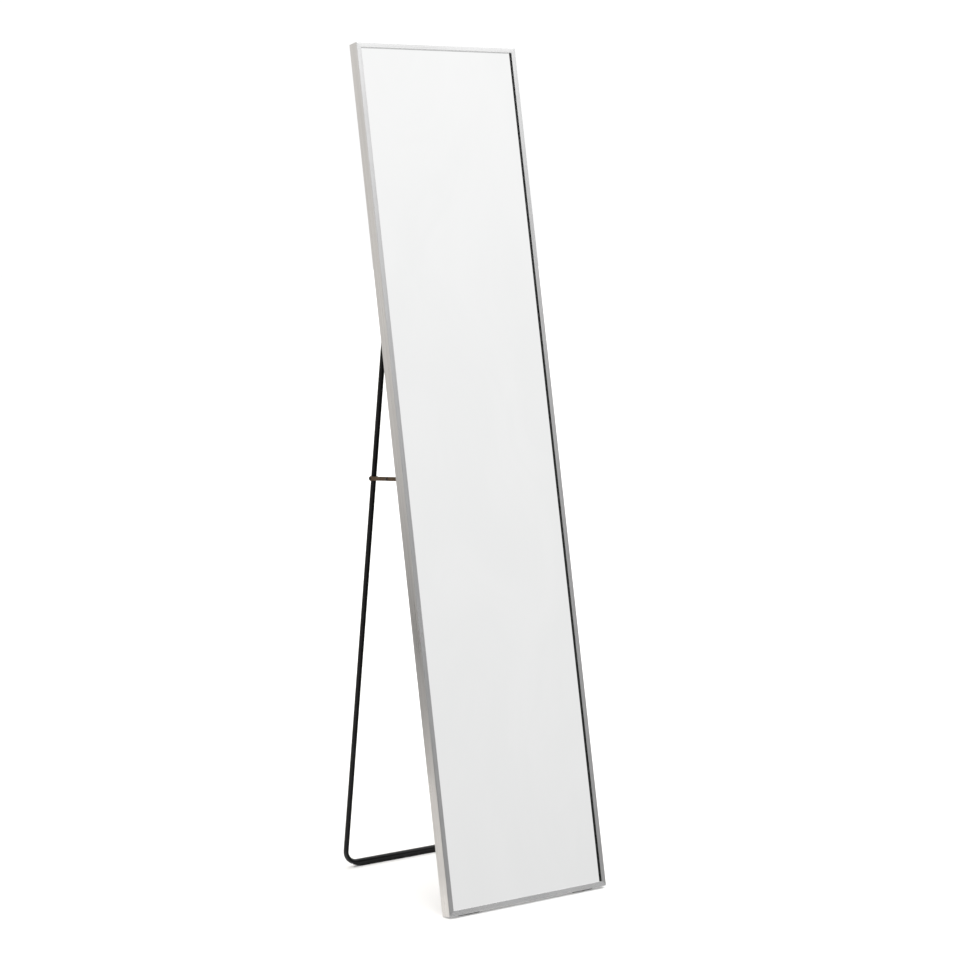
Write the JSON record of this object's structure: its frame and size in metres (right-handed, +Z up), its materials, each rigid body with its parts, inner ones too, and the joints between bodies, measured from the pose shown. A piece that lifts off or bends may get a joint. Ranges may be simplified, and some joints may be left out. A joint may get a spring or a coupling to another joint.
{
  "type": "full-length standing mirror",
  "caption": "Tall rectangular mirror in a slim satin aluminium frame, leaning on a folding U-shaped black tube stand with hinged side stays.",
  "frame": {"origin": "on the floor, at the centre of the whole object's footprint with the stand open", "axes": "+Z up, the mirror faces -Y and leans back towards +Y, +X to the right seen from the front"},
  "size_m": [0.355, 0.4001, 1.5757],
  "materials": {
    "brushed_aluminium": "satin anodised, fine lengthwise grain",
    "mirror_silver": "polished silvered glass",
    "white_foam": "soft closed-cell foam",
    "black_board": "black-faced fibreboard",
    "zinc_steel": "zinc-plated",
    "black_nylon": "fine moulded texture",
    "black_powder_coat": "satin powder coat",
    "bronze_steel": "bronze-coloured satin finish",
    "black_oxide": "black oxide",
    "black_rubber": "matt"
  },
  "bodies": {
    "mirror_frame": {"frame_rail_left": "brushed_aluminium", "frame_rail_right": "brushed_aluminium", "frame_rail_top": "brushed_aluminium", "frame_rail_bottom": "brushed_aluminium", "corner_key_top_left": "zinc_steel", "corner_key_top_right": "zinc_steel", "corner_key_bottom_left": "zinc_steel", "corner_key_bottom_right": "zinc_steel", "corner_screws": "black_oxide", "mirror_glass": "mirror_silver", "foam_sheet": "white_foam", "backing_board": "black_board", "frame_foot_left": "black_rubber", "frame_foot_right": "black_rubber", "hinge_block_left": "black_nylon", "hinge_block_right": "black_nylon", "hinge_block_screws": "black_oxide", "hinge_bolt_left": "black_oxide", "hinge_bolt_right": "black_oxide", "stay_post_left": "black_oxide", "stay_post_right": "black_oxide"},
    "stand": {"stand_tube": "black_powder_coat", "floor_strip": "black_rubber", "leg_plug_left": "black_nylon", "stay_pin_left": "black_oxide", "stay_spacer_left": "bronze_steel", "stay_nut_left": "black_oxide", "leg_plug_right": "black_nylon", "stay_pin_right": "black_oxide", "stay_spacer_right": "bronze_steel", "stay_nut_right": "black_oxide"},
    "stay_rear_left": {"stay_link_rear_left": "bronze_steel", "knee_rivet_tail_left": "black_oxide"},
    "stay_front_left": {"stay_link_front_left": "bronze_steel", "knee_rivet_head_left": "black_oxide"},
    "stay_rear_right": {"stay_link_rear_right": "bronze_steel", "knee_rivet_tail_right": "black_oxide"},
    "stay_front_right": {"stay_link_front_right": "bronze_steel", "knee_rivet_head_right": "black_oxide"}
  },
  "joints": [
    {"name": "stand_fold", "type": "hinge", "parent": "mirror_frame", "child": "stand", "pos_m": [0, 0.03318, 1.11056], "axis": [-1, 0, 0], "range_deg": [0, 19.26]},
    {"name": "stay_front_left_turn", "type": "hinge", "parent": "mirror_frame", "child": "stay_front_left", "pos_m": [-0.1666, -0.02987, 0.78317], "axis": [1, 0, 0], "range_deg": [0, 84.22]},
    {"name": "stay_rear_left_turn", "type": "hinge", "parent": "stand", "child": "stay_rear_left", "pos_m": [-0.1666, 0.08277, 0.77318], "axis": [-1, 0, 0], "range_deg": [0, 76.62]},
    {"name": "stay_front_right_turn", "type": "hinge", "parent": "mirror_frame", "child": "stay_front_right", "pos_m": [0.1666, -0.02987, 0.78317], "axis": [1, 0, 0], "range_deg": [0, 84.22]},
    {"name": "stay_rear_right_turn", "type": "hinge", "parent": "stand", "child": "stay_rear_right", "pos_m": [0.1666, 0.08277, 0.77318], "axis": [-1, 0, 0], "range_deg": [0, 76.62]}
  ],
  "couplings": [
    {"joint": "stay_front_left_turn", "follows": "stand_fold", "ratio": 4.3694},
    {"joint": "stay_rear_left_turn", "follows": "stand_fold", "ratio": 3.975},
    {"joint": "stay_front_right_turn", "follows": "stand_fold", "ratio": 4.3694},
    {"joint": "stay_rear_right_turn", "follows": "stand_fold", "ratio": 3.975}
  ]
}
